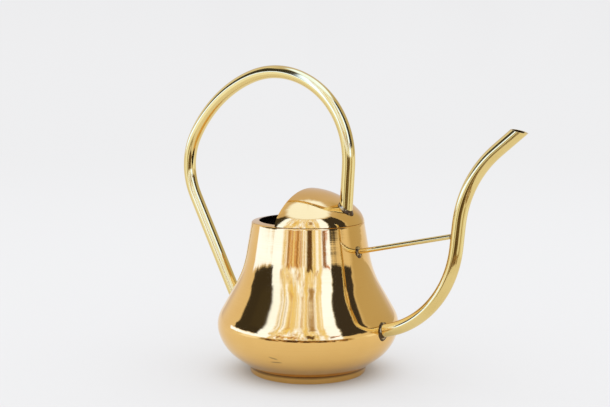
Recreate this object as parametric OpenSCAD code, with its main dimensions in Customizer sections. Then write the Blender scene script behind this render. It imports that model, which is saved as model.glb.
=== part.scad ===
// Indoor watering can in sheet brass: spun bell-shaped body, half dome over the mouth,
// hoop handle, swan-neck spout and a thin brace, all soldered together.
// Origin: on the body's axis in the plane of the table. +X: towards the spout. +Z: up.
// The handle, the spout, the brace and the dome are all centred on the plane y = 0.

/* [Sheet] */
// Thickness of the spun body wall
wall = 1.1; // [0.8:0.1:1.4]
// Thickness of the half dome
dome_wall = 1.1; // [0.8:0.1:1.4]
// Thickness of the base disc
base_t = 1.2; // [0.8:0.1:1.6]

/* [Body outline] */
// Radius of the mouth hole
mouth_r = 45.2; // [44:0.2:46]
// Height of the mouth hole's edge above the table
mouth_h = 141; // [140:0.5:142]
// Fall of the lip from the hole to the rim, in degrees
lip_fall = 8; // [4:1:12]
// Width of the lip along its slope
lip_w = 5.5; // [5:0.1:6]
// Outer radius of the turned rim corner
rim_r = 1.8; // [1.5:0.1:2.1]
// Lean of the neck from upright, in degrees
neck_lean = 9.5; // [9:0.1:10]
// Length of the straight neck
neck_len = 29.6; // [29:0.2:30]
// Radius of the flare below the neck
flare_r = 91; // [88:1:94]
// Turn of the flare, in degrees
flare_turn = 20.4; // [20:0.2:21]
// Length of the straight shoulder below the flare
shoulder_len = 25.7; // [25:0.1:26.4]
// Radius of the belly above its widest line
belly_top_r = 25.4; // [24:0.2:27]
// Turn of the belly's upper arc, in degrees
belly_top_turn = 46.2; // [45.6:0.2:46.8]
// Radius of the belly below its widest line
belly_low_r = 40.3; // [39:0.1:41.5]
// Turn of the belly's lower arc, in degrees
belly_low_turn = 38.3; // [37.8:0.1:38.8]
// Length of the straight underside
under_len = 17.6; // [17:0.1:18.2]

/* [Foot ring] */
// Outer radius of the ring where it meets the body
foot_r = 54.6; // [54.2:0.1:55]
// Thickness of the ring
foot_t = 1.5; // [1.2:0.1:1.8]

/* [Dome] */
// Outer radius of the dome where it meets the rim
dome_r = 52.4; // [52.1:0.1:52.6]
// Radius of the dome's shoulder
dome_shoulder_r = 21; // [20:0.2:22]
// Radius of the dome's crown
dome_crown_r = 64; // [60:1:68]
// Place of the dome's cut edge, from the body's axis towards the spout
dome_cut_x = 1; // [0.5:0.5:3]

/* [Tubes and rod] */
// Outer diameter of the handle tube and of the spout tube
tube_d = 12; // [11:0.1:12.6]
// Thickness of both tubes
tube_wall = 1; // [0.8:0.1:1.2]
// Diameter of the brace rod
brace_d = 4.5; // [4:0.1:5]

/* [Solder] */
// How far a fillet spreads from a tube
solder_spread = 1.3; // [0.8:0.1:1.6]
// How high a fillet stands on the sheet
solder_rise = 0.9; // [0.6:0.1:1.2]

/* [Hidden] */

$fn = 96;
polished = [0.86, 0.66, 0.38];
drawn_tube = [0.84, 0.71, 0.42];
solder_grey = [0.55, 0.50, 0.42];
over = 1;                    // cutting solids run this far past what they cut
reach = 200;                 // half the size of a cutting block
lap = 0.3;                   // how far a straight laps over a bend
hair = 0.01;                 // how much fuller a straight is than a bend
collar_len = 24;             // stretch of the handle that its upper collar is cut from
tube_r = tube_d / 2;
brace_r = brace_d / 2;

// A run is a list of moves [straight, bend radius, turn]. A positive turn is to the left.
// An outline starts at a point with a heading in degrees, 0 along +X and 90 along +Z.

// Wall of the body: out over the lip, down the neck and onto the belly, where the upper and the
// lower body meet under the widest line, then round the belly and in under the foot
body_start = [mouth_r, mouth_h];
belly_heading = neck_lean + flare_turn - belly_top_turn - 90;
flange_r = 8;                // bend at the wall's lower end, hidden inside the foot ring
flange_turn = 30;
flange_len = 3;              // flat edge at the wall's lower end
upper_run = [
    [lip_w, rim_r, neck_lean + lip_fall - 90],
    [neck_len, flare_r, flare_turn],
    [shoulder_len, belly_top_r, -belly_top_turn]
];
lower_run = [
    [0, belly_low_r, -belly_low_turn],
    [under_len, flange_r, -flange_turn],
    [flange_len, 0, 0]
];
body_run = concat(upper_run, lower_run);
base_z = 5;                  // underside of the base disc
foot_taper = 0.8;            // the ring is this much narrower where it stands
foot_bore_r = foot_r - foot_taper - foot_t;

// Dome: up from the rim with the neck's lean, round the shoulder, then over the crown
dome_start = [dome_r, 139.2];
dome_heading = 90 + neck_lean;
dome_crown_from = 42.7;      // the crown's arc starts this many degrees above level
dome_run = [
    [0, dome_shoulder_r, 90 + dome_crown_from - dome_heading],
    [0, dome_crown_r, 90 - dome_crown_from]
];

// Handle: up from the dome, over the hoop and straight down to the belly
handle_start = [41.8, 146];
handle_heading = 86.3;
handle_run = [
    [47.2, 76.7, 61.2],
    [0, 86.7, 51.1],
    [0, 131.6, 40.5],
    [0, 61, 59],
    [130, 0, 0]
];

// Spout: out through the belly, up beside the body, then leaning out to its mouth
spout_start = [79, 46.7];
spout_heading = 15.6;
spout_lean = 40;             // heading of the last straight
spout_up = 84.3;             // heading between the two bends
spout_run = [
    [8.9, 93.2, spout_up - spout_heading],
    [19.2, 97.3, spout_lean - spout_up],
    [34, 0, 0]
];
tip = [211.8, 230.2];        // middle of the slanted mouth
tip_slant = 13;              // fall of the mouth outwards, in degrees

// Brace: from inside the neck's wall to the middle of the spout
brace_start = [50, 115.2];
brace_heading = 13.3;
brace_len = 109.1;

// The points of a run, one at least every arc_step degrees
arc_step = 3;

function ahead(p, heading, d) = p + d * [cos(heading), sin(heading)];

function bend_points(p, heading, r, turn) =
    let(side = sign(turn), centre = ahead(p, heading + 90 * side, r), n = ceil(abs(turn) / arc_step))
    [for (i = [1:n]) ahead(centre, heading - 90 * side + turn * i / n, r)];

function run_points(p, heading, moves, i = 0) =
    i == len(moves) ? [p] :
    let(
        m = moves[i],
        q = ahead(p, heading, m[0]),
        bent = m[2] == 0 ? [] : bend_points(q, heading, m[1], m[2]),
        next = m[2] == 0 ? q : bent[len(bent) - 1],
        start = m[0] > 0 ? [p] : [],
        corner = m[2] == 0 ? [] : [q],
        round = [for (j = [0:1:len(bent) - 2]) bent[j]]
    )
    concat(start, corner, round, run_points(next, heading + m[2], moves, i + 1));

// The same run moved sideways by d, to the right where d is positive
function beside(moves, d) =
    [for (m = moves) [m[0], m[2] == 0 ? 0 : m[1] + (m[2] > 0 ? d : -d), m[2]]];

function side_points(p, heading, moves, d) =
    run_points(ahead(p, heading - 90, d), heading, beside(moves, d));

function backwards(points) = [for (i = [len(points) - 1:-1:0]) points[i]];

// The body's outline as a full solid, grown by d: what the other pieces are trimmed to
module body_solid(d = 0) {
    edge = side_points(body_start, -lip_fall, body_run, -d);
    last = edge[len(edge) - 1];
    rotate_extrude() polygon(concat([[0, edge[0].y]], edge, [[0, last.y]]));
}

// The space inside the body's wall
module body_space() {
    edge = side_points(body_start, -lip_fall, body_run, wall);
    last = edge[len(edge) - 1];
    rotate_extrude() polygon(concat([[0, edge[0].y]], edge, [[0, last.y]]));
}

function dome_points(d) =
    [for (p = side_points(dome_start, dome_heading, dome_run, d)) [max(p.x, 0), p.y]];

module dome_solid(d = 0) {
    edge = dome_points(d);
    rotate_extrude() polygon(concat([[0, edge[0].y]], edge));
}

// A round bar along a run: straight cylinders, with parts of a torus as the bends. Each
// straight is a hair fuller than the bends and laps over them, so the two join cleanly.
module bar(moves, r, i = 0) {
    if (i < len(moves)) {
        m = moves[i];
        translate([-lap, 0, 0]) rotate([0, 90, 0]) cylinder(h = m[0] + 2 * lap, r = r);
        translate([m[0], 0, 0]) {
            if (m[2] != 0) bent_bar(m[1], m[2], r - hair);
            translate([m[1] * sin(abs(m[2])), 0, sign(m[2]) * m[1] * (1 - cos(m[2]))])
                rotate([0, -m[2], 0]) bar(moves, r, i + 1);
        }
    }
}

module bent_bar(bend_r, turn, r) {
    mirror([0, 0, turn < 0 ? 1 : 0]) rotate([90, 0, 0]) translate([0, bend_r, 0])
        rotate([0, 0, -90]) rotate_extrude(angle = abs(turn)) translate([bend_r, 0]) circle(r);
}

module place(p, heading) {
    translate([p.x, 0, p.y]) rotate([0, -heading, 0]) children();
}

module handle_bar(r) { place(handle_start, handle_heading) bar(handle_run, r); }
module spout_bar(r) { place(spout_start, spout_heading) bar(spout_run, r); }
module brace_bar(r) { place(brace_start, brace_heading) bar([[brace_len, 0, 0]], r); }

// The spout's bore starts before the root, so that the root is open
module spout_bore() {
    lead = [[spout_run[0][0] + over, spout_run[0][1], spout_run[0][2]], spout_run[1], spout_run[2]];
    place(ahead(spout_start, spout_heading, -over), spout_heading) bar(lead, tube_r - tube_wall);
}

module above_spout_mouth() {
    translate([tip.x, 0, tip.y]) rotate([0, tip_slant, 0]) translate([-reach, -reach, 0])
        cube([2 * reach, 2 * reach, reach]);
}

// A turned wall whose outside follows a run
module turned_wall(p, heading, moves) {
    outside = side_points(p, heading, moves, 0);
    inside = side_points(p, heading, moves, wall);
    rotate_extrude() polygon(concat(outside, backwards(inside)));
}

// Spun sheet brass from the mouth hole down over the widest line, pierced for the spout
module upper_body() {
    color(polished) difference() {
        turned_wall(body_start, -lip_fall, upper_run);
        place(ahead(spout_start, spout_heading, -over), spout_heading)
            bar([[spout_run[0][0] + over, 0, 0]], tube_r);
    }
}

// Spun sheet brass from under the widest line to the flange inside the foot
module lower_body() {
    way_down = run_points(body_start, -lip_fall, upper_run);
    color(polished) turned_wall(way_down[len(way_down) - 1], belly_heading, lower_run);
}

// Flat disc that closes the lower end of the wall, its rim cut to the wall's slope
module base_disc() {
    color(polished) intersection() {
        translate([0, 0, base_z]) cylinder(h = base_t, r = foot_r);
        body_space();
    }
}

// Rolled band under the body, its top trimmed to the underside
module foot_ring() {
    color(polished) difference() {
        cylinder(h = 2 * base_z, r1 = foot_r - foot_taper, r2 = foot_r + foot_taper);
        translate([0, 0, -over]) cylinder(h = 2 * base_z + 2 * over, r = foot_bore_r);
        body_solid();
    }
}

// Half of a spun cap, soldered on the lip over the spout side
module dome_cover() {
    color(polished) difference() {
        rotate_extrude() polygon(concat(dome_points(0), backwards(dome_points(-dome_wall))));
        body_solid();
        translate([dome_cut_x - 2 * reach, -reach, 0]) cube([2 * reach, 2 * reach, reach]);
    }
}

// Bent tube, both ends closed by the sheet that they are trimmed to
module handle_tube() {
    color(drawn_tube) difference() {
        handle_bar(tube_r);
        handle_bar(tube_r - tube_wall);
        dome_solid();
        body_solid();
    }
}

// Bent tube, its root passed through the wall and its mouth cut on a slant
module spout_tube() {
    color(drawn_tube) difference() {
        spout_bar(tube_r);
        spout_bore();
        above_spout_mouth();
    }
}

// Solid rod, each end hollowed to the curve that it meets
module brace_rod() {
    color(drawn_tube) difference() {
        brace_bar(brace_r);
        body_solid();
        spout_bar(tube_r);
    }
}

// A flat ring standing on z, between two radii
module ring(z, h, r_in, r_out) {
    translate([0, 0, z]) difference() {
        cylinder(h = h, r = r_out);
        translate([0, 0, -over]) cylinder(h = h + 2 * over, r = r_in);
    }
}

// Solder run in above the base disc's rim
module base_solder() {
    color(solder_grey) intersection() {
        ring(base_z + base_t, solder_rise, foot_bore_r - over, foot_r + over);
        body_space();
    }
}

// Solder in the corner between the foot ring and the underside
module foot_solder() {
    color(solder_grey) difference() {
        ring(base_z - 2 * solder_rise, 2 * base_z, foot_bore_r - solder_spread, foot_bore_r);
        body_solid();
    }
}

// Solder along the inside of the dome's lower edge, on the lip
module dome_solder() {
    color(solder_grey) difference() {
        intersection() {
            ring(dome_start.y, 2 * over, dome_r - dome_wall - solder_spread, dome_r);
            dome_solid(-dome_wall);
            translate([dome_cut_x, -reach, 0]) cube([reach, 2 * reach, reach]);
        }
        body_solid();
    }
}

// Collar of solder where the handle stands on the dome
module handle_top_solder() {
    color(solder_grey) difference() {
        intersection() {
            place(handle_start, handle_heading) bar([[collar_len, 0, 0]], tube_r + solder_spread);
            dome_solid(solder_rise);
        }
        handle_bar(tube_r);
        dome_solid();
    }
}

// Long collar of solder where the handle runs onto the belly
module handle_foot_solder() {
    color(solder_grey) difference() {
        intersection() {
            handle_bar(tube_r + solder_spread);
            body_solid(solder_rise);
            translate([-reach, -reach, 0]) cube([reach, 2 * reach, mouth_h / 2]);
        }
        handle_bar(tube_r);
        body_solid();
    }
}

// Collar of solder where the spout leaves the belly
module spout_root_solder() {
    color(solder_grey) difference() {
        intersection() {
            spout_bar(tube_r + solder_spread);
            body_solid(solder_rise);
        }
        spout_bar(tube_r);
        body_solid();
    }
}

// Collars of solder at the two ends of the brace
module brace_neck_solder() {
    color(solder_grey) difference() {
        intersection() {
            brace_bar(brace_r + solder_spread);
            body_solid(solder_rise);
        }
        brace_bar(brace_r);
        body_solid();
    }
}

module brace_spout_solder() {
    color(solder_grey) difference() {
        intersection() {
            brace_bar(brace_r + solder_spread);
            spout_bar(tube_r + solder_rise);
        }
        brace_bar(brace_r);
        spout_bar(tube_r);
    }
}

upper_body();
lower_body();
base_disc();
foot_ring();
dome_cover();
handle_tube();
spout_tube();
brace_rod();
base_solder();
foot_solder();
dome_solder();
handle_top_solder();
handle_foot_solder();
spout_root_solder();
brace_neck_solder();
brace_spout_solder();
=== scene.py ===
import math

import bmesh
import bpy
import numpy as np
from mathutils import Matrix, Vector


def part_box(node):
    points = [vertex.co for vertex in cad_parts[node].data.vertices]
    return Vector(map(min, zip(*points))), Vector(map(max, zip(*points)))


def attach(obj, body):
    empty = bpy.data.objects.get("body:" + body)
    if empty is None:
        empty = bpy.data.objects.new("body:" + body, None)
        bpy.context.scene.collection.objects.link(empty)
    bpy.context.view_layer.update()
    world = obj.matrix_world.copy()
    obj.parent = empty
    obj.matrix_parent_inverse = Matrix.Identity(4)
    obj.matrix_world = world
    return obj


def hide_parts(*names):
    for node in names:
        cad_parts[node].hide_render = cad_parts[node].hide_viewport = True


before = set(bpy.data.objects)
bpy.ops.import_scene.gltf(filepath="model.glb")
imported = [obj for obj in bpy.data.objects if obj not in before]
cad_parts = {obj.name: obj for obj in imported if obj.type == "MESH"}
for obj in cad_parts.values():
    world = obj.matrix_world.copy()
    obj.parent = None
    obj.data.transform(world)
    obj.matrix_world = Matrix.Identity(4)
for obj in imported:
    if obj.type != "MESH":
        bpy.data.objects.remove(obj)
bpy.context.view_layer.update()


# --- Camera ---------------------------------------------------------------------------------
# A 70 mm lens a little over a metre from the can, 36 degrees round from its side and looking
# down on it by 7 degrees.
camera_turn = math.radians(36)
lens = bpy.data.cameras.new("camera")
lens.lens = 70
lens.sensor_width = 36
camera = bpy.data.objects.new("camera", lens)
camera.location = (0.6369, -0.8766, 0.2911)
camera.rotation_euler = (math.radians(82.895), 0, math.radians(36.147))
bpy.context.scene.collection.objects.link(camera)
bpy.context.scene.camera = camera
bpy.context.scene.view_settings.view_transform = "Standard"


# --- Studio walls ---------------------------------------------------------------------------
# A white room with a tall bright window in front, between two dark curtains. Polished brass
# takes nearly all of its look from what stands round it.
def add_node(tree, kind, inputs=None, **settings):
    """One shader node: its settings, then its inputs. A socket is linked in and a value is set."""
    made = tree.nodes.new(kind)
    for key, value in settings.items():
        setattr(made, key, value)
    for key, value in (inputs or {}).items():
        if isinstance(value, bpy.types.NodeSocket):
            tree.links.new(value, made.inputs[key])
        else:
            made.inputs[key].default_value = value
    return made


def maths(tree, operation, *values):
    return add_node(tree, "ShaderNodeMath", dict(enumerate(values)), operation=operation).outputs[0]


def gap_from(tree, value, middle):
    """How far a value is from the middle, |value - middle|."""
    return maths(tree, "ABSOLUTE", maths(tree, "SUBTRACT", value, middle))


def sway(tree, cloud, size):
    """A noise made to swing both ways from zero, size x (cloud - 0.5)."""
    return maths(tree, "MULTIPLY", maths(tree, "SUBTRACT", cloud, 0.5), size)


def ramp(tree, value, low, high, out_low=0.0, out_high=1.0):
    """A smooth step from out_low, where value is at low, to out_high, where it is at high."""
    limits = {"Value": value, "From Min": low, "From Max": high, "To Min": out_low, "To Max": out_high}
    step = add_node(tree, "ShaderNodeMapRange", limits, interpolation_type="SMOOTHSTEP")
    return step.outputs["Result"]


def mix_colour(tree, share, first, second):
    """The first colour where share is 0, the second where it is 1."""
    inputs = {0: share, 6: first, 7: second}
    return add_node(tree, "ShaderNodeMix", inputs, data_type="RGBA").outputs[2]


def noise(tree, vector, scale, detail=2.0, rough=0.5):
    inputs = {"Vector": vector, "Scale": scale, "Detail": detail, "Roughness": rough}
    return add_node(tree, "ShaderNodeTexNoise", inputs).outputs[0]


def stretched(tree, vector, scale):
    return add_node(tree, "ShaderNodeMapping", {"Vector": vector, "Scale": scale}).outputs[0]


world = bpy.data.worlds.new("studio")
bpy.context.scene.world = world
world.use_nodes = True
room = world.node_tree
room.nodes.clear()
facing = add_node(room, "ShaderNodeTexCoord").outputs["Generated"]
turned = add_node(room, "ShaderNodeMapping", {"Vector": facing, "Rotation": (0, 0, -camera_turn)})
aim_x, aim_y, aim_z = add_node(room, "ShaderNodeSeparateXYZ", {0: turned.outputs[0]}).outputs
bearing = maths(room, "ARCTAN2", aim_x, maths(room, "MULTIPLY", aim_y, -1.0))
bearing = maths(room, "MULTIPLY", bearing, 180 / math.pi)
height = maths(room, "MULTIPLY", maths(room, "ARCSINE", aim_z), 180 / math.pi)


def drapery(across, upward, detail):
    """Noise over bearing and height, in waves to a degree. Faster across than upward, it hangs in folds."""
    at = {0: maths(room, "MULTIPLY", bearing, across), 1: maths(room, "MULTIPLY", height, upward)}
    return noise(room, add_node(room, "ShaderNodeCombineXYZ", at).outputs[0], 1.0, detail, 0.6)


# No edge in the room is quite straight, by some degrees. Drapery reads the bearing and the height
# as they stand, so the height's waves follow the bearing already moved, and the order counts.
bearing = maths(room, "ADD", bearing, sway(room, drapery(0.05, 0.10, 2.0), 9.0))
height = maths(room, "ADD", height, sway(room, drapery(0.16, 0.02, 3.0), 9.0))

pale = (1.24, 1.84, 4.4, 1)
cream = (0.99, 1.03, 0.90, 1)
folds = maths(room, "ADD", maths(room, "MULTIPLY", drapery(0.09, 0.02, 2.0), 0.6),
              maths(room, "MULTIPLY", drapery(0.5, 0.03, 3.0), 0.4))
window_colour = mix_colour(room, ramp(room, folds, 0.46, 0.60), cream, pale)
# waves to a degree across and up, detail, where the noise starts and fills a streak, colour
streaks = {
    "lemon": (0.22, 0.015, 2.0, 0.57, 0.65, (1.0, 0.98, 0.50, 1)),
    "tan": (0.14, 0.08, 4.0, 0.54, 0.66, (0.78, 0.66, 0.50, 1)),
    "olive": (0.7, 0.012, 3.0, 0.58, 0.66, (0.50, 0.42, 0.26, 1)),
    "thin pale": (0.9, 0.03, 3.0, 0.60, 0.66, pale),
}
for across, upward, detail, start, full, paint in streaks.values():
    share = ramp(room, drapery(across, upward, detail), start, full)
    window_colour = mix_colour(room, share, window_colour, paint)

grained = drapery(0.28, 0.02, 3.0)
door_colour = mix_colour(room, ramp(room, grained, 0.40, 0.50), (0.24, 0.14, 0.08, 1), (0.74, 0.50, 0.30, 1))
door_colour = mix_colour(room, ramp(room, grained, 0.52, 0.60), door_colour, (1.0, 1.08, 0.95, 1))
door_top = maths(room, "ADD", height, sway(room, drapery(0.30, 0.0, 3.0), 26.0))

# Each panel lies over those before it. In degrees: bearing to the right of the camera's side,
# half width, height, half height, softness. Then its colour.
panels = {
    "upper wall": (0, 180, 62, 13, 3, (0.68, 0.65, 0.63, 1)),
    "ceiling": (0, 180, 78, 15, 4, (1.15, 1.62, 3.2, 1)),
    "left wall": (-150, 42, 25, 32, 6, (0.86, 0.85, 0.86, 1)),
    "right wall": (128, 42, 20, 34, 6, (0.58, 0.54, 0.42, 1)),
    "back wall on the right": (180, 34, 25, 34, 8, (0.68, 0.65, 0.68, 1)),
    "back wall on the left": (-180, 34, 25, 34, 8, (0.68, 0.65, 0.68, 1)),
    "window": (-12, 56, 30, 31, 2, window_colour),
    "left strip": (-60, 9, 28, 31, 1.5, pale),
    "right strip": (34, 9, 30, 31, 1.5, pale),
    "low left strip": (-88, 26, 3, 4, 1.5, pale),
    "left curtain": (-87, 21, 27, 18.5, 1.5, (0.05, 0.05, 0.055, 1)),
    "left curtain top": (-76, 11, 44, 16, 4, (0.06, 0.06, 0.06, 1)),
    "right curtain": (64, 20.5, 34, 25.5, 1.5, (0.05, 0.05, 0.065, 1)),
    "curtain edge": (47, 3.5, 14, 6, 1.0, (0.05, 0.05, 0.06, 1)),
    "brown door": (3, 5, 11, 6, 1.5, (0.13, 0.085, 0.06, 1)),
    "tan door": (-26, 14, 9, 4, 2.5, door_colour),
    "narrow door": (30, 3.5, 10, 3, 1.0, (0.35, 0.20, 0.10, 1)),
    "orange chair": (37, 4, 11.5, 1.4, 0.6, (0.66, 0.30, 0.10, 1)),
    "stand": (6, 4, 42, 6, 3, (0.45, 0.36, 0.28, 1)),
}
wall_colour = (0.86, 0.86, 0.87, 1)
room_colour = wall_colour
for name, (middle, half_width, level, half_height, soft, paint) in panels.items():
    reached = door_top if "door" in name else height
    beside = maths(room, "SUBTRACT", gap_from(room, bearing, middle), half_width)
    above = maths(room, "SUBTRACT", gap_from(room, reached, level), half_height)
    inside = ramp(room, maths(room, "MAXIMUM", beside, above), -soft, soft, 1.0, 0.0)
    room_colour = mix_colour(room, inside, room_colour, paint)

# The metal sees the room, everything else is lit by a white sky that is brighter overhead, and
# behind the can hangs a plain backdrop.
path = add_node(room, "ShaderNodeLightPath").outputs
soft_light = mix_colour(room, ramp(room, aim_z, 0.0, 1.0), (1.12, 1.12, 1.12, 1), (1.68, 1.68, 1.69, 1))
backdrop = mix_colour(room, ramp(room, height, -2, 14), wall_colour, (0.80, 0.80, 0.81, 1))
seen = mix_colour(room, path["Is Glossy Ray"], soft_light, room_colour)
seen = mix_colour(room, path["Is Camera Ray"], seen, backdrop)
light = add_node(room, "ShaderNodeBackground", {"Color": seen})
add_node(room, "ShaderNodeOutputWorld", {"Surface": light.outputs[0]})
world.cycles.sampling_method = "NONE"             # so that each kind of ray gets its own light


# --- Floor ----------------------------------------------------------------------------------
# A sweep of pale card that fades into the wall behind, so that no edge shows: away from the can
# it glows more and more in the wall's colour, a painted light. The glow is left out under the can
# and kept low round it, which paints a shadow there on top of the soft one its matt face takes.
def make_object(name, verts, faces, materials):
    mesh = bpy.data.meshes.new(name)
    mesh.from_pydata(np.asarray(verts).tolist(), [], np.asarray(faces).tolist())
    for material in materials:
        mesh.materials.append(material)
    made = bpy.data.objects.new(name, mesh)
    bpy.context.scene.collection.objects.link(made)
    return made


def new_material(name):
    """An empty node material, and its tree."""
    material = bpy.data.materials.new(name)
    material.use_nodes = True
    material.node_tree.nodes.clear()
    return material, material.node_tree


card, tree = new_material("pale_card")
place = add_node(tree, "ShaderNodeTexCoord").outputs["Object"]
away = add_node(tree, "ShaderNodeVectorMath", {0: place}, operation="LENGTH").outputs["Value"]
# Painted light and shadow: the share of glow is 0 under the can, 0.45 round it, and 1 far off.
painted_glow_share = maths(tree, "MULTIPLY", ramp(tree, away, 0.3, 2.6, 0.45, 1.0), ramp(tree, away, 0.045, 0.10))
speckle = noise(tree, place, 900.0)
paper = mix_colour(tree, speckle, (0.59, 0.592, 0.60, 1), (0.61, 0.612, 0.62, 1))
matt = add_node(tree, "ShaderNodeBsdfDiffuse", {"Color": paper}).outputs[0]
glow = add_node(tree, "ShaderNodeEmission", {"Color": wall_colour}).outputs[0]
blend = add_node(tree, "ShaderNodeMixShader", {0: painted_glow_share, 1: matt, 2: glow}).outputs[0]
add_node(tree, "ShaderNodeOutputMaterial", {"Surface": blend})
floor_half = 12.0
corners = floor_half * np.array([(-1, -1, 0), (1, -1, 0), (1, 1, 0), (-1, 1, 0)])
floor = make_object("floor", corners, [(0, 1, 2, 3)], [card])


# --- Table edge -----------------------------------------------------------------------------
# A low rim with small things on it, 36 cm in front of the can. It shows only in the polished
# metal, as a broken brown line along the belly.
def strip_round(start, end, steps, edges):
    """A strip round Z between two edges, each given by its radius and height. Its points are
    (radius sin t, -radius cos t, height), where t goes in even steps from start to end, in degrees
    from the camera's side. Returns the points and the faces."""
    t = np.radians(np.linspace(start, end, steps + 1)) + camera_turn
    points = [np.column_stack([r * np.sin(t), -r * np.cos(t), np.full(len(t), z)]) for r, z in edges]
    first = np.arange(steps)
    faces = np.column_stack([first, first + 1, first + 1 + len(t), first + len(t)])
    return np.concatenate(points), faces


def show_only_in_metal(piece):
    piece.visible_camera = False
    piece.visible_diffuse = False
    piece.visible_shadow = False


clutter, tree = new_material("low_clutter")
place = add_node(tree, "ShaderNodeTexCoord").outputs["Object"]
lumps = noise(tree, stretched(tree, place, (22, 22, 18)), 1.0, 4.0, 0.6)
tint = mix_colour(tree, ramp(tree, lumps, 0.42, 0.56), (0.10, 0.06, 0.035, 1), (0.55, 0.38, 0.20, 1))
glow = add_node(tree, "ShaderNodeEmission", {"Color": tint}).outputs[0]
hole = add_node(tree, "ShaderNodeBsdfTransparent").outputs[0]
blend = add_node(tree, "ShaderNodeMixShader", {0: ramp(tree, lumps, 0.55, 0.58), 1: glow, 2: hole}).outputs[0]
add_node(tree, "ShaderNodeOutputMaterial", {"Surface": blend})
points, faces = strip_round(-48, 44, 46, [(0.36, 0.001), (0.36, 0.042)])
table_edge = make_object("table_edge", points, faces, [clutter])
show_only_in_metal(table_edge)


# --- Room floor -----------------------------------------------------------------------------
# Past the table lies a brown floor with rugs, pale to the left and the right. It darkens the
# middle of the upright tubes and the line where the belly turns under, and shows nowhere else.
brown, tree = new_material("room_floor")
place = add_node(tree, "ShaderNodeTexCoord").outputs["Object"]
east, north, _ = add_node(tree, "ShaderNodeSeparateXYZ", {0: place}).outputs
turn = maths(tree, "ARCTAN2", east, maths(tree, "MULTIPLY", north, -1.0))
turn = maths(tree, "MULTIPLY", maths(tree, "SUBTRACT", turn, camera_turn), 180 / math.pi)
rugs = noise(tree, stretched(tree, place, (3.2, 3.2, 1)), 1.0, 4.0, 0.62)
turn = maths(tree, "ADD", turn, sway(tree, rugs, 16.0))
boards = mix_colour(tree, ramp(tree, rugs, 0.40, 0.50), (0.070, 0.045, 0.022, 1), (0.17, 0.115, 0.055, 1))
boards = mix_colour(tree, ramp(tree, rugs, 0.58, 0.66), boards, (0.52, 0.42, 0.26, 1))
# In degrees: bearing to the right of the camera's side, half width, softness. Then the colour.
patches = {
    "light on the left": (-74, 13, 5, (1.08, 1.20, 1.50, 1)),
    "crate": (-52, 6, 3, (0.40, 0.36, 0.26, 1)),
    "boards": (-5, 26, 4, boards),
    "stool": (48, 6, 4, (0.46, 0.38, 0.22, 1)),
    "light on the right": (84, 11, 5, (1.05, 1.16, 1.40, 1)),
}
tint = (0.90, 0.93, 0.95, 1)
for middle, half_width, soft, paint in patches.values():
    beside = maths(tree, "SUBTRACT", gap_from(tree, turn, middle), half_width)
    tint = mix_colour(tree, ramp(tree, beside, -soft, soft, 1.0, 0.0), tint, paint)
glow = add_node(tree, "ShaderNodeEmission", {"Color": tint}).outputs[0]
add_node(tree, "ShaderNodeOutputMaterial", {"Surface": glow})
points, faces = strip_round(-100, 112, 106, [(7.0, 0.0008), (0.44, 0.0008)])
room_floor = make_object("room_floor", points, faces, [brown])
show_only_in_metal(room_floor)


# --- Body -----------------------------------------------------------------------------------
# One wall of 1.1 mm sheet brass, spun on a lathe from the mouth's lip to the flange inside the
# foot, then polished. It still carries fine rings from the polishing wheel and a faint wave.
def run_line(start, heading, moves, spacing=0.0004, ease=0.0):
    """A line of straights and bends in the XZ plane, from moves (straight, bend radius, turn in degrees).
    The heading holds on a straight and turns evenly along a bend, and ease averages it over that length.
    Each point is the start plus the running sum of (cos, sin) of the heading. Returns points and headings."""
    spans = [(0.0, heading)]
    for straight, radius, turn in moves:
        spans += [(straight, 0.0), (radius * math.radians(abs(turn)), turn)]
    reached, headings = np.cumsum(np.array(spans), axis=0).T
    along = np.linspace(0, reached[-1], max(2, round(reached[-1] / spacing)) + 1)
    window = np.linspace(-ease / 2, ease / 2, 15)
    angle = np.radians(np.interp(along[:, None] + window, reached, headings).mean(axis=1))
    step = np.column_stack([np.cos(angle), np.sin(angle)])
    walked = np.cumsum((step[1:] + step[:-1]) / 2 * along[1], axis=0)
    return np.vstack([[0, 0], walked]) + start, angle


end_points = 7                                    # points round the rounded edge of a sheet


def sheet_section(line, angle, thickness):
    """The closed outline of a sheet that has the line as its left face: the line, a half circle
    round its end, the line moved to its right by the thickness, and a half circle round its start."""
    left = np.column_stack([-np.sin(angle), np.cos(angle)])
    ahead = np.column_stack([np.cos(angle), np.sin(angle)])
    bend = np.radians(np.linspace(80, -80, end_points))[:, None]
    middle = line - left * thickness / 2
    far_end = middle[-1] + thickness / 2 * (np.sin(bend) * left[-1] + np.cos(bend) * ahead[-1])
    near_end = middle[0] - thickness / 2 * (np.sin(bend) * left[0] + np.cos(bend) * ahead[0])
    return np.vstack([line, far_end, (line - left * thickness)[::-1], near_end])


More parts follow.
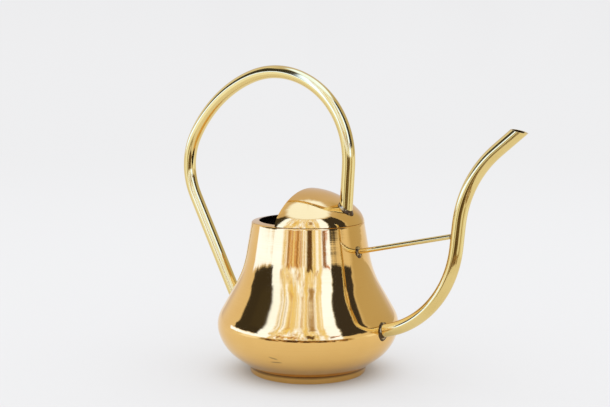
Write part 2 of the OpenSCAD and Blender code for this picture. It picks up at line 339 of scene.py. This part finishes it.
def grid_mesh(name, points, materials, grain, around=True, along=True, inner=None):
    """A mesh from a grid of points (rows, columns, 3), with one quad between each four neighbours.
    Around joins the last column to the first, along the last row to the first, and points that
    coincide are merged. The faces are turned so that the sum over them of area x normal x centre,
    three times the volume, is positive. Inner marks the columns or rows that take the second material."""
    rows, columns = points.shape[:2]
    index = np.arange(rows * columns).reshape(rows, columns)
    if along:
        index = np.vstack([index, index[:1]])
    if around:
        index = np.hstack([index, index[:, :1]])
    quads = np.stack([index[:-1, :-1], index[:-1, 1:], index[1:, 1:], index[1:, :-1]], axis=-1).reshape(-1, 4)
    verts = points.reshape(-1, 3)
    corner = verts[quads]
    normals = np.cross(corner[:, 2] - corner[:, 0], corner[:, 3] - corner[:, 1])
    if (normals * corner.mean(axis=1)).sum() < 0:
        quads = quads[:, ::-1]
    made = make_object(name, verts, quads, materials)
    mesh = made.data
    stored = mesh.attributes.new("grain", "FLOAT_VECTOR", "POINT")
    stored.data.foreach_set("vector", np.ascontiguousarray(grain.reshape(-1, 3), dtype=np.float32).ravel())
    if inner is not None:
        marked = np.broadcast_to(inner, (rows, columns)).ravel()[quads[:, 0]]
        mesh.polygons.foreach_set("material_index", marked.astype(np.int32))
    merged = bmesh.new()
    merged.from_mesh(mesh)
    bmesh.ops.remove_doubles(merged, verts=merged.verts, dist=1e-7)
    merged.to_mesh(mesh)
    merged.free()
    mesh.shade_smooth()
    mesh.set_sharp_from_angle(angle=math.radians(50))
    return made


def spin(section, turns, wave=None):
    """The section (radius, height) carried round Z: each point is (radius cos t, radius sin t, height).
    Wave moves the radius. Returns the grid, turns by section points, and its grain (x, y, length along)."""
    length = np.concatenate([[0], np.cumsum(np.hypot(*np.diff(section, axis=0).T))])
    t = turns[:, None]
    radius = section[:, 0] + (0 if wave is None else wave(t, section[:, 1]))
    z = np.broadcast_to(section[:, 1], (len(turns), len(section)))
    grid = np.stack([radius * np.cos(t), radius * np.sin(t), z], axis=-1)
    grain = np.stack([grid[..., 0], grid[..., 1], np.broadcast_to(length, z.shape)], axis=-1)
    return grid, grain


def body_wave(t, z):
    """How far the wall wanders from round: slow sines of the angle and the height, under a tenth of a mm."""
    slow = 3.5e-5 * np.sin(2 * t + 60 * z) + 2e-5 * np.sin(3 * t - 130 * z + 1.1)
    return slow + 1.2e-5 * np.sin(410 * z + t)


def dark_mark(tree, place, ragged, turn, level, half_length, half_width, slope):
    """How much of a short dark mark covers a point. Its middle line lies at the level, plus slope x the
    distance sideways from its turn round Z, and it fades out over its half length and half width."""
    x, y, z = add_node(tree, "ShaderNodeSeparateXYZ", {0: place}).outputs
    c, s = math.cos(math.radians(turn)), math.sin(math.radians(turn))
    sideways = maths(tree, "SUBTRACT", maths(tree, "MULTIPLY", y, c), maths(tree, "MULTIPLY", x, s))
    outward = maths(tree, "ADD", maths(tree, "MULTIPLY", x, c), maths(tree, "MULTIPLY", y, s))
    rise = maths(tree, "SUBTRACT", z, level)
    rise = maths(tree, "SUBTRACT", rise, maths(tree, "MULTIPLY", sideways, slope))
    rise = maths(tree, "ABSOLUTE", maths(tree, "ADD", rise, sway(tree, ragged, half_width)))
    reach = maths(tree, "ABSOLUTE", sideways)
    share = maths(tree, "MULTIPLY", ramp(tree, rise, 0.0, half_width, 0.7, 0.0),
                  ramp(tree, reach, half_length * 0.3, half_length, 1.0, 0.0))
    return maths(tree, "MULTIPLY", share, maths(tree, "GREATER_THAN", outward, 0.0))


def brass(name, light, deep, rough, relief, fine, broad, tarnish_and_shade_bands=(), dark_marks=()):
    """Polished brass. Its colour wanders between two tones, and its polish runs in lines: fine and
    broad give the pitch of the lines, in waves to a metre, across the grain's first two directions and
    along its third. The bands of tarnish and shade give heights where the colour is darkened towards
    brown, tarnish left where the polishing wheel didn't reach and painted shade in that corner, and
    how far each spreads. The dark marks are short dark streaks painted into the colour: turn round Z
    in degrees, height, half length, half width and slope."""
    material, tree = new_material(name)
    place = add_node(tree, "ShaderNodeTexCoord").outputs["Object"]
    grain = add_node(tree, "ShaderNodeAttribute", attribute_name="grain").outputs["Vector"]
    lines = noise(tree, stretched(tree, grain, (fine[0], fine[0], fine[1])), 1.0, 3.0, 0.65)
    swell = noise(tree, stretched(tree, grain, (broad[0], broad[0], broad[1])), 1.0, 2.0)
    cloud = noise(tree, place, 22.0, 3.0)
    tone = maths(tree, "ADD", maths(tree, "MULTIPLY", cloud, 0.7), maths(tree, "MULTIPLY", lines, 0.3))
    base = mix_colour(tree, ramp(tree, tone, 0.35, 0.65), light, deep)
    z = add_node(tree, "ShaderNodeSeparateXYZ", {0: place}).outputs[2]
    # Painted shade and tarnish: each band darkens the colour towards brown round its height.
    for level, reach in tarnish_and_shade_bands:
        gap = maths(tree, "ADD", gap_from(tree, z, level), sway(tree, cloud, reach))
        base = mix_colour(tree, ramp(tree, gap, reach * 0.2, reach, 0.75, 0.0), base, (0.16, 0.075, 0.025, 1))
    # Short dark streaks painted into the colour.
    for mark in dark_marks:
        base = mix_colour(tree, dark_mark(tree, place, lines, *mark), base, (0.20, 0.13, 0.06, 1))
    worn = maths(tree, "ADD", maths(tree, "MULTIPLY", lines, 0.06), maths(tree, "MULTIPLY", cloud, 0.06))
    polish = maths(tree, "ADD", worn, rough - 0.06)
    bump = add_node(tree, "ShaderNodeBump", {"Strength": relief, "Distance": 0.0001, "Height": lines})
    bump = add_node(tree, "ShaderNodeBump", {
        "Strength": relief, "Distance": 0.0003, "Height": swell, "Normal": bump.outputs[0]})
    inputs = {"Metallic": 1.0, "Base Color": base, "Roughness": polish, "Normal": bump.outputs[0]}
    shader = add_node(tree, "ShaderNodeBsdfPrincipled", inputs)
    add_node(tree, "ShaderNodeOutputMaterial", {"Surface": shader.outputs[0]})
    return material


# The band at 6.2 mm darkens the corner where the wall meets the foot ring: tarnish, and painted shade.
body_brass = brass("spun_brass", (0.885, 0.56, 0.19, 1), (0.845, 0.52, 0.165, 1), 0.06, 0.10,
                   (9.0, 1500.0), (18.0, 190.0), [(0.0062, 0.0022)],
                   [(-76.5, 0.0290, 0.0050, 0.0012, -0.22), (-75, 0.0250, 0.0065, 0.0011, 0.03)])
# The inside of the sheet and the spout's bore: tarnished brass made nearly black, tarnish and also painted
# shade for the dark inside.
dark_brass, tree = new_material("tarnish_and_shade_inside")
place = add_node(tree, "ShaderNodeTexCoord").outputs["Object"]
stain = noise(tree, place, 60.0, 4.0)
base = mix_colour(tree, stain, (0.030, 0.018, 0.011, 1), (0.085, 0.050, 0.028, 1))
shader = add_node(tree, "ShaderNodeBsdfPrincipled", {
    "Metallic": 0.6, "Base Color": base, "Roughness": ramp(tree, stain, 0.2, 0.8, 0.45, 0.7)})
add_node(tree, "ShaderNodeOutputMaterial", {"Surface": shader.outputs[0]})

wall = 0.0011
mouth_edge = (0.0452, 0.141)
lip_heading, rim_turn = -8, -72.5
neck_to_foot = [(0.0296, 0.091, 20.4), (0.0257, 0.0254, -46.2), (0, 0.0403, -38.3), (0.0176, 0.008, -30),
                (0.003, 0.001, 0)]
lip, lip_angle = run_line(mouth_edge, lip_heading, [(0.0055, 0.0018, rim_turn)], 0.00025)
side, side_angle = run_line(lip[-1], lip_heading + rim_turn, neck_to_foot, 0.0013, ease=0.006)
outline = np.vstack([lip, side[1:]])
section = sheet_section(outline, np.concatenate([lip_angle, side_angle[1:]]), wall)
turns = np.linspace(0, 2 * math.pi, 289)[:-1]
grid, grain = spin(section, turns, body_wave)
within = np.arange(len(section)) >= len(outline) + end_points // 2
body = grid_mesh("body_wall", grid, [body_brass, dark_brass], grain, inner=within)
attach(body, "root")
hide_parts("upper_body", "lower_body")


# --- Base disc ------------------------------------------------------------------------------
# A flat disc of 1.2 mm brass that closes the wall from below. Solder is run round it, above its
# rim and below it in the corner of the foot ring.
base_low, base_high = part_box("base_disc")
base_rim = base_high.x
bevel = 0.0003
base_section = np.array([
    (0, base_low.z), (base_rim - 2 * bevel, base_low.z), (base_rim, base_low.z + bevel),
    (base_rim, base_high.z - bevel), (base_rim - 2 * bevel, base_high.z), (0, base_high.z)])
grid, grain = spin(base_section, turns[::2])
base_disc = grid_mesh("base_plate", grid, [body_brass], grain, around=False)
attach(base_disc, "root")
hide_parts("base_disc")


# --- Foot ring ------------------------------------------------------------------------------
# A rolled band of 1.5 mm brass that the can stands on. It widens a little up to the body, and
# its lower edge is rounded by wear.
foot_radius, foot_thick, foot_flare = 0.0538, 0.0015, 0.16
toe_round, chamfer = 0.0006, 0.0004
foot_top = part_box("foot_ring")[1].z + 0.0006      # its upper edge is let a little into the body
foot_bore = foot_radius - foot_thick
bend = np.radians(np.linspace(0, 90, 7))
foot_toe = np.column_stack([foot_radius - toe_round * (1 - np.sin(bend)), toe_round * (1 - np.cos(bend))])
foot_section = np.vstack([
    [(foot_bore, chamfer), (foot_bore + chamfer, 0.0)], foot_toe,
    [(foot_radius + foot_flare * foot_top, foot_top), (foot_bore, foot_top)]])
grid, grain = spin(foot_section, turns)
foot = grid_mesh("foot_band", grid, [body_brass], grain)
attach(foot, "root")
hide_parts("foot_ring")


# --- Half dome ------------------------------------------------------------------------------
# Half of a spun cap, cut straight across just past the can's axis and soldered on the lip over
# the spout side, where it keeps the water in as the can tips.
dome_wall = 0.0011
dome_cut = 0.001
seam = 0.0006                                     # the dome's edge stands this far off the lip
dome_moves = [(0, 0.021, 33.2), (0, 0.064, 47.3)]
dome_line, dome_angle = run_line((0.0524, 0.1392), 99.5, dome_moves, 0.0006, ease=0.004)
keep = (dome_line[:, 0] > dome_cut) & (dome_line[:, 1] > dome_line[0, 1] + seam)
dome_line, dome_angle = dome_line[keep], dome_angle[keep]


def half_spin(line, share):
    """Each point of the line carried round Z, by share of the angle at which its x comes down to
    the cut, which is acos(cut / radius)."""
    t = share * np.arccos(np.clip(dome_cut / line[:, 0], -1, 1))[:, None]
    height = np.broadcast_to(line[:, 1:], t.shape)
    return np.stack([line[:, :1] * np.cos(t), line[:, :1] * np.sin(t), height], axis=-1)


# A row goes over the outside and back along the inside. The first and last rows are pinched to
# the middle of the wall, which closes the lower edge and the crown.
inward = np.column_stack([-np.sin(dome_angle), np.cos(dome_angle)])
share = np.linspace(-1, 1, 181)
outside = half_spin(dome_line, share)
inside = half_spin(dome_line + inward * dome_wall, share[::-1])
pinched = dome_line[[0, -1]] + inward[[0, -1]] * dome_wall / 2
pinched = np.concatenate([half_spin(pinched, share), half_spin(pinched, share[::-1])], axis=1)
grid = np.concatenate([outside, inside], axis=1)
grid = np.concatenate([pinched[:1], grid, pinched[1:]])
travelled = np.cumsum(np.hypot(*np.diff(dome_line, axis=0, prepend=dome_line[:1]).T))
travelled = np.concatenate([travelled[:1], travelled, travelled[-1:]])
grain = np.dstack([grid[..., 0], grid[..., 1], np.broadcast_to(travelled[:, None], grid.shape[:2])])
within = np.arange(grid.shape[1]) >= len(share)
dome = grid_mesh("half_dome", grid, [body_brass, dark_brass], grain, along=False, inner=within)
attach(dome, "root")
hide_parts("dome_cover")


# --- Handle ---------------------------------------------------------------------------------
# A 12 mm brass tube drawn straight, then bent in one plane to a hoop. It stands on the dome and
# comes down to the belly, and is soldered at both ends.
def sleeve(line, angle, radius, sides):
    """Rings of a tube along a line in the XZ plane: centre + radius (cos a x the line's left + sin a x Y).
    Returns the rings, the directions out of the tube and the line's directions."""
    a = np.linspace(0, 2 * math.pi, sides, endpoint=False)[:, None]
    flat = np.zeros_like(angle)
    left = np.column_stack([-np.sin(angle), flat, np.cos(angle)])[:, None]
    outward = np.cos(a) * left + np.sin(a) * np.array([0, 1, 0])
    centre = np.column_stack([line[:, 0], flat, line[:, 1]])[:, None]
    return centre + radius * outward, outward, np.column_stack([np.cos(angle), flat, np.sin(angle)])


def off_turned(profile):
    """How far a point is outside a turned shape: its distance from Z, less the profile's radius at
    its height."""
    radius, height = profile[np.argsort(profile[:, 1])].T
    return lambda p: np.hypot(p[..., 0], p[..., 1]) - np.interp(p[..., 2], height, radius)


def slide(ring, direction, off, reach):
    """Slides each point of a ring along direction to where off comes down to zero, by halving the reach."""
    low, high = np.zeros(len(ring)), np.full(len(ring), reach)
    for _ in range(30):
        middle = (low + high) / 2
        clear = off(ring + middle[:, None] * direction) > 0
        low, high = np.where(clear, middle, low), np.where(clear, high, middle)
    return ring + low[:, None] * direction


def rings_between(first_ring, last_ring):
    """25 rings in even steps, each (1 - share) x the first + share x the last."""
    share = np.linspace(0, 1, 25)[:, None, None]
    return first_ring * (1 - share) + last_ring * share


def travel(rings):
    """How far each ring's middle is from the first one's, along the line through the middles."""
    middles = rings.mean(axis=1)
    return np.cumsum(np.linalg.norm(np.diff(middles, axis=0, prepend=middles[:1]), axis=1))


def tube_grain(travelled, radius, sides):
    """The grain of a tube, (radius cos a, radius sin a, distance travelled)."""
    a = np.broadcast_to(np.linspace(0, 2 * math.pi, sides, endpoint=False), (len(travelled), sides))
    return np.dstack([radius * np.cos(a), radius * np.sin(a), np.broadcast_to(travelled[:, None], a.shape)])


def closed_bar(name, rings, radius, materials):
    """A bar with closed ends: its rings, and past each end a ring pinched to its own middle."""
    ends = [np.broadcast_to(rings[k].mean(axis=0), rings[k].shape)[None] for k in (0, -1)]
    grid = np.concatenate([ends[0], rings, ends[1]])
    return grid_mesh(name, grid, materials, tube_grain(travel(grid), radius, rings.shape[1]), along=False)


tube_brass = brass("drawn_brass", (0.84, 0.65, 0.265, 1), (0.78, 0.585, 0.215, 1), 0.09, 0.05,
                   (520.0, 5.0), (120.0, 9.0))
tube_radius, tube_sides = 0.006, 72
sunk = 0.0006                                     # how far an end sits in the sheet
off_body = off_turned(side)
off_dome = off_turned(dome_line)
handle_moves = [(0.0472, 0.0767, 61.2), (0, 0.0867, 51.1), (0, 0.1316, 40.5), (0, 0.061, 59),
                (0.130, 0.01, 0)]
line, angle = run_line((0.0418, 0.146), 86.3, handle_moves, 0.0012, ease=0.012)
rings, outward, ahead = sleeve(line, angle, tube_radius, tube_sides)
first, last = 30, len(line) - 75                  # the rings next to the joints that are clear of them
handle_top = slide(rings[first], -ahead[first], off_dome, reach=0.035)
handle_foot = slide(rings[last], ahead[last], off_body, reach=0.085)
top_end = rings_between(handle_top - ahead[first] * sunk, rings[first])
foot_end = rings_between(rings[last], handle_foot + ahead[last] * sunk)
handle = closed_bar("handle", np.concatenate([top_end, rings[first + 1:last], foot_end]), tube_radius,
                    [tube_brass])
handle_top_out, handle_top_up = outward[first], ahead[first]
handle_foot_out, handle_foot_up = outward[last], -ahead[last]
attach(handle, "root")
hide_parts("handle_tube")


# --- Spout ----------------------------------------------------------------------------------
# The same tube bent as a swan's neck. Its open root is let into the belly, and its mouth is cut
# on a slant so that the water leaves in one clean stream.
tube_wall = 0.001
spout_moves = [(0.0089, 0.0932, 68.7), (0.0192, 0.0973, -44.3), (0.034, 0.01, 0)]
spout_line, spout_angle = run_line((0.079, 0.0467), 15.6, spout_moves, 0.0012, ease=0.012)
tip = np.array([0.2118, 0, 0.2302])
slant = math.radians(13)
mouth_normal = np.array([math.sin(slant), 0, math.cos(slant)])
last = len(spout_line) - 24                       # the last ring that is clear of the slanted cut
walls = []
for radius in (tube_radius, tube_radius - tube_wall):
    rings, outward, ahead = sleeve(spout_line, spout_angle, radius, tube_sides)
    cut = slide(rings[last], ahead[last], lambda p: (tip - p) @ mouth_normal, reach=0.06)
    walls.append(np.concatenate([rings[:last], rings_between(rings[last], cut)]))
mouth_rim = (walls[0][-1] + walls[1][-1]) / 2 + 0.0002 * ahead[last]
grid = np.concatenate([walls[0], mouth_rim[None], walls[1][::-1]])
travelled = travel(walls[0])
travelled = np.concatenate([travelled, travelled[-1:], travelled[::-1]])
polished_rings = 12                               # the bore is polished this far down from the mouth
within = (np.arange(len(grid)) > len(walls[0]) + polished_rings)[:, None]
spout = grid_mesh("spout", grid, [tube_brass, dark_brass], tube_grain(travelled, tube_radius, tube_sides),
                  inner=within)
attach(spout, "root")
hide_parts("spout_tube")


# --- Brace ----------------------------------------------------------------------------------
# A straight 4.5 mm brass rod that ties the spout to the neck, butted on both and soldered.
# It keeps the long spout from being bent or torn out of the belly.
def off_spout(p):
    """How far a point is outside the spout: its distance from the nearest point of the centre
    line, less the tube's radius."""
    centre = np.column_stack([spout_line[:, 0], np.zeros(len(spout_line)), spout_line[:, 1]])
    return np.linalg.norm(p[..., None, :] - centre, axis=-1).min(axis=-1) - tube_radius


brace_radius = 0.00225
line, angle = run_line((0.050, 0.1152), 13.3, [(0.1091, 0.01, 0)], 0.001)
rings, outward, ahead = sleeve(line, angle, brace_radius, 40)
first, last = 40, 80                              # two rings in the open stretch
brace_neck = slide(rings[first], -ahead[first], off_body, reach=0.045)
brace_tip = slide(rings[last], ahead[last], off_spout, reach=0.035)
neck_end = rings_between(brace_neck - ahead[first] * sunk, rings[first])
spout_end = rings_between(rings[last], brace_tip + ahead[last] * sunk)
brace = closed_bar("brace", np.concatenate([neck_end, rings[first + 1:last], spout_end]), brace_radius,
                   [tube_brass])
brace_out, brace_up = outward[first], ahead[first]
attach(brace, "root")
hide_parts("brace_rod")


# --- Solder at the joints -------------------------------------------------------------------
# Soft solder run round each joint with an iron. It wets the sheet further than the tube, sets in
# uneven lobes and has gone grey-brown, with a few bright spots where it was wiped.
def slope_of(off, p):
    """The direction in which off grows fastest at each point, from differences 0.1 mm each way."""
    reach = 0.0001
    up = np.stack([off(p + reach * unit) - off(p - reach * unit) for unit in np.eye(3)], axis=-1)
    return up / np.linalg.norm(up, axis=-1, keepdims=True)


def collar(name, node, contact, out, up, off, rise, spread, phase):
    """A fillet round a contact ring. Its section at each angle is contact + rise (1 - w)^2 up +
    spread w^2 toe, where toe lies in the sheet, swollen off the sheet by a crown, and it is closed by
    three points inside the metal. Rise and spread wander with the angle as a sum of sines."""
    a = np.linspace(0, 2 * math.pi, len(contact), endpoint=False)[:, None]
    lobes = 1 + 0.20 * np.sin(a + phase) + 0.16 * np.sin(2 * a - 2 * phase) + 0.08 * np.sin(5 * a + phase)
    drips = 1 + 0.20 * np.sin(2 * a + 2 * phase) + 0.12 * np.sin(3 * a - phase)
    normal = slope_of(off, contact)
    toe = out - (out * normal).sum(axis=1, keepdims=True) * normal
    toe = toe / np.linalg.norm(toe, axis=1, keepdims=True)
    crown, depth = 0.0001, 0.0004
    curve = [contact + rise * drips * (1 - w) ** 2 * up + spread * lobes * w ** 2 * toe
             + crown * math.sin(math.pi * w) * (1 + 0.4 * np.sin(4 * a + 5 * w)) * normal
             for w in np.linspace(0, 1, 13)]
    curve += [curve[-1] - depth * normal, contact - depth * (normal + out), curve[0] - depth * out]
    grid = np.stack(curve)
    made = grid_mesh(name, grid, [solder], grid)
    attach(made, "root")
    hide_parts(node)


solder, tree = new_material("aged_solder")
place = add_node(tree, "ShaderNodeTexCoord").outputs["Object"]
spots = noise(tree, place, 260.0, 3.0, 0.5)
shine = ramp(tree, spots, 0.52, 0.62)
base = mix_colour(tree, shine, (0.095, 0.052, 0.020, 1), (0.52, 0.38, 0.17, 1))
bump = add_node(tree, "ShaderNodeBump", {"Strength": 0.3, "Distance": 0.0003, "Height": spots})
shader = add_node(tree, "ShaderNodeBsdfPrincipled", {
    "Metallic": 0.95, "Base Color": base, "Roughness": ramp(tree, shine, 0, 1, 0.42, 0.2),
    "Normal": bump.outputs[0]})
add_node(tree, "ShaderNodeOutputMaterial", {"Surface": shader.outputs[0]})

collar("handle_top_fillet", "handle_top_solder", handle_top, handle_top_out, handle_top_up, off_dome,
       rise=0.0034, spread=0.0014, phase=0.4)
collar("handle_foot_fillet", "handle_foot_solder", handle_foot, handle_foot_out, handle_foot_up, off_body,
       rise=0.0016, spread=0.0022, phase=2.0)
rings, outward, ahead = sleeve(spout_line, spout_angle, tube_radius, tube_sides)
clear = 12                                        # a ring of the spout just outside the belly
spout_root = slide(rings[clear], -ahead[clear], off_body, reach=0.016)
collar("spout_root_fillet", "spout_root_solder", spout_root, outward[clear], ahead[clear], off_body,
       rise=0.0016, spread=0.0024, phase=3.3)
collar("brace_neck_fillet", "brace_neck_solder", brace_neck, brace_out, brace_up, off_body,
       rise=0.0014, spread=0.0030, phase=5.1)
collar("brace_spout_fillet", "brace_spout_solder", brace_tip, brace_out, -brace_up, off_spout,
       rise=0.0010, spread=0.0010, phase=1.2)


# --- Solder under the can and under the dome --------------------------------------------------
# Long runs of the same solder: round the base disc's rim, in the corner of the foot ring, and
# along the inside of the dome's lower edge.
def bead(name, node, corner, first, second, turns, closed):
    """A fillet in the corner of a turned shape: a triangle at each angle with its corner there and
    its feet along first and second, in (radius, height), whose length wanders with the angle as a sum
    of sines, and its long side drawn in."""
    t = turns[:, None]
    swell = 1 + 0.15 * np.sin(9 * t) + 0.12 * np.sin(23 * t + 1)
    first, second = np.array(first), np.array(second)
    w = np.linspace(0, 1, 7)[:, None]
    inside = -0.12 * (first + second)
    section = np.vstack([(1 - w) ** 2 * first + w ** 2 * second, second + inside, inside, first + inside])
    radius = corner[0] + swell * section[:, 0]
    height = corner[1] + swell * section[:, 1]
    grid = np.stack([radius * np.cos(t), radius * np.sin(t), height], axis=-1)
    if not closed:
        ends = [np.broadcast_to(grid[k].mean(axis=0), grid[k].shape)[None] for k in (0, -1)]
        grid = np.concatenate([ends[0], grid, ends[1]])
    made = grid_mesh(name, grid, [solder], grid, along=closed)
    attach(made, "root")
    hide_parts(node)


bead("base_bead", "base_solder", (base_rim, base_high.z), (-0.0012, 0), (0.0006, 0.0009), turns, closed=True)
bead("foot_bead", "foot_solder", (foot_bore, base_low.z - 0.0002), (-0.0013, 0), (0, -0.0013), turns,
     closed=True)
dome_inside, lip_height = dome_line[0, 0] - dome_wall, 0.1401
half_turn = math.acos(dome_cut / 0.051)
bead("dome_bead", "dome_solder", (dome_inside, lip_height), (-0.0011, 0.0002), (0, 0.0009),
     np.linspace(-half_turn, half_turn, 161), closed=False)
